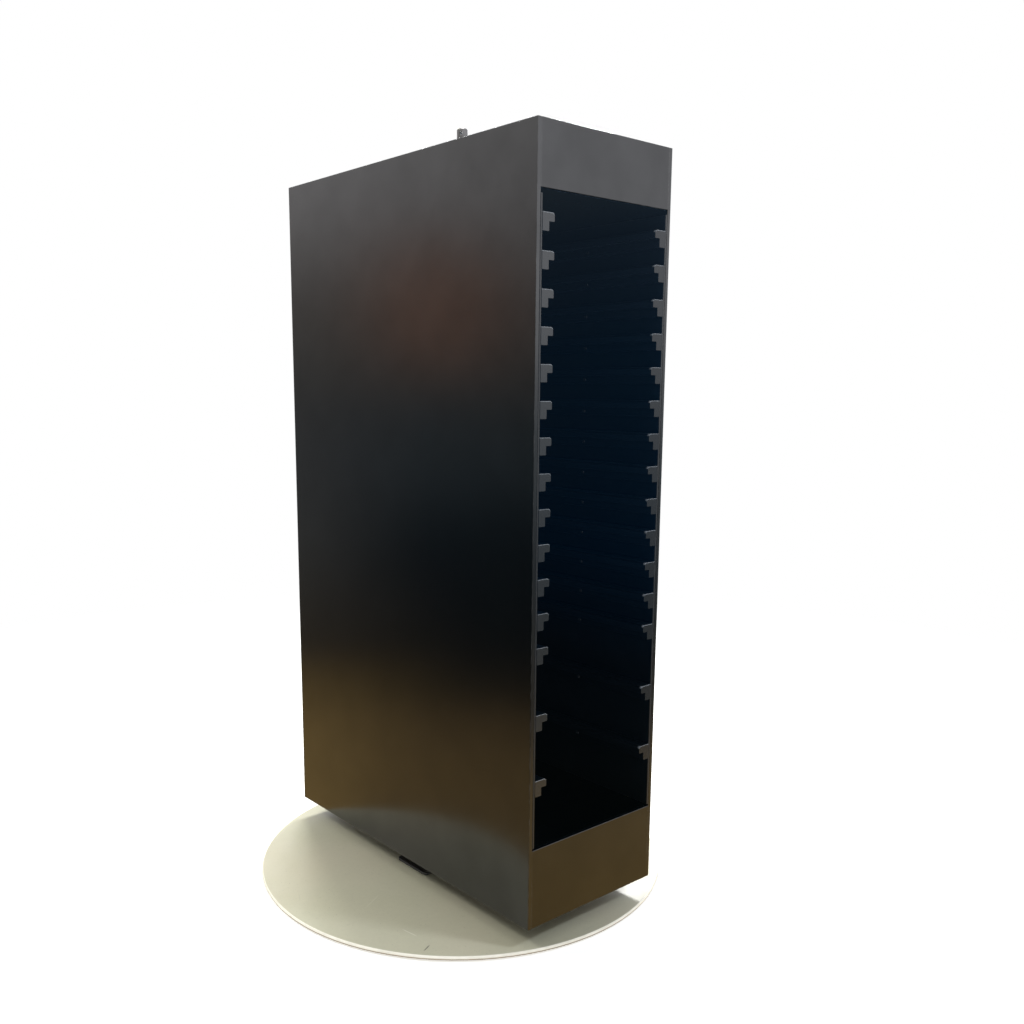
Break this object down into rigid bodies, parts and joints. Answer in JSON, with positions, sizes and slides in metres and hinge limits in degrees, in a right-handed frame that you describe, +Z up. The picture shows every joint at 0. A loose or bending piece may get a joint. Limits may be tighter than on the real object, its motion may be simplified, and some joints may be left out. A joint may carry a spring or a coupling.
{
  "type": "poker chip carousel",
  "caption": "Tall black double-sided tray cabinet with stepped side rails, turning on a fixed central spindle over a round cream floor plate.",
  "frame": {"origin": "on the floor at the centre of the round floor plate, which is on the axis the cabinet turns about", "axes": "+Z up along the spindle; the front opening faces -Y and the rear opening +Y; +X to the right seen from the front"},
  "size_m": [0.64, 0.64, 1.1288],
  "materials": {
    "panel": "satin black sheet, soft reflections",
    "liner": "matt black",
    "rail": "machined matt charcoal",
    "base_paint": "satin cream paint, light scratches",
    "black_steel": "black satin",
    "pad_rubber": "matt",
    "spindle_steel": "turned steel",
    "bearing_steel": "ground bearing steel",
    "bronze": "turned bronze"
  },
  "bodies": {
    "base": {"base_plate": "base_paint", "foot_pad_1": "pad_rubber", "foot_pad_2": "pad_rubber", "foot_pad_3": "pad_rubber", "foot_pad_4": "pad_rubber", "spindle_foot": "black_steel", "spindle": "spindle_steel", "spindle_bolt": "spindle_steel", "spindle_collar": "spindle_steel", "collar_set_screw": "black_steel", "bearing_lower_race": "bearing_steel"},
    "ball_cage": {"ball_cage": "bearing_steel"},
    "cabinet": {"side_panel_left": "panel", "side_panel_right": "panel", "fascia_top_front": "panel", "fascia_top_rear": "panel", "fascia_bottom_front": "panel", "fascia_bottom_rear": "panel", "top_plate": "panel", "bottom_plate": "panel", "liner_left": "liner", "liner_right": "liner", "divider_front": "liner", "divider_rear": "liner", "rail_left_01": "rail", "rail_left_02": "rail", "rail_left_03": "rail", "rail_left_04": "rail", "rail_left_05": "rail", "rail_left_06": "rail", "rail_left_07": "rail", "rail_left_08": "rail", "rail_left_09": "rail", "rail_left_10": "rail", "rail_left_11": "rail", "rail_left_12": "rail", "rail_left_13": "rail", "rail_left_14": "rail", "rail_left_15": "rail", "rail_right_01": "rail", "rail_right_02": "rail", "rail_right_03": "rail", "rail_right_04": "rail", "rail_right_05": "rail", "rail_right_06": "rail", "rail_right_07": "rail", "rail_right_08": "rail", "rail_right_09": "rail", "rail_right_10": "rail", "rail_right_11": "rail", "rail_right_12": "rail", "rail_right_13": "rail", "rail_right_14": "rail", "rail_right_15": "rail", "hub": "black_steel", "lower_bush": "bronze", "upper_bush": "bronze", "bearing_upper_race": "bearing_steel"}
  },
  "joints": [
    {"name": "cabinet_turn", "type": "hinge", "parent": "base", "child": "cabinet", "pos_m": [0, 0, 0.0363], "axis": [0, 0, 1], "continuous": true},
    {"name": "ball_cage_turn", "type": "hinge", "parent": "base", "child": "ball_cage", "pos_m": [0, 0, 0.0204], "axis": [0, 0, 1], "continuous": true}
  ],
  "couplings": [
    {"joint": "ball_cage_turn", "follows": "cabinet_turn", "ratio": 0.5}
  ]
}
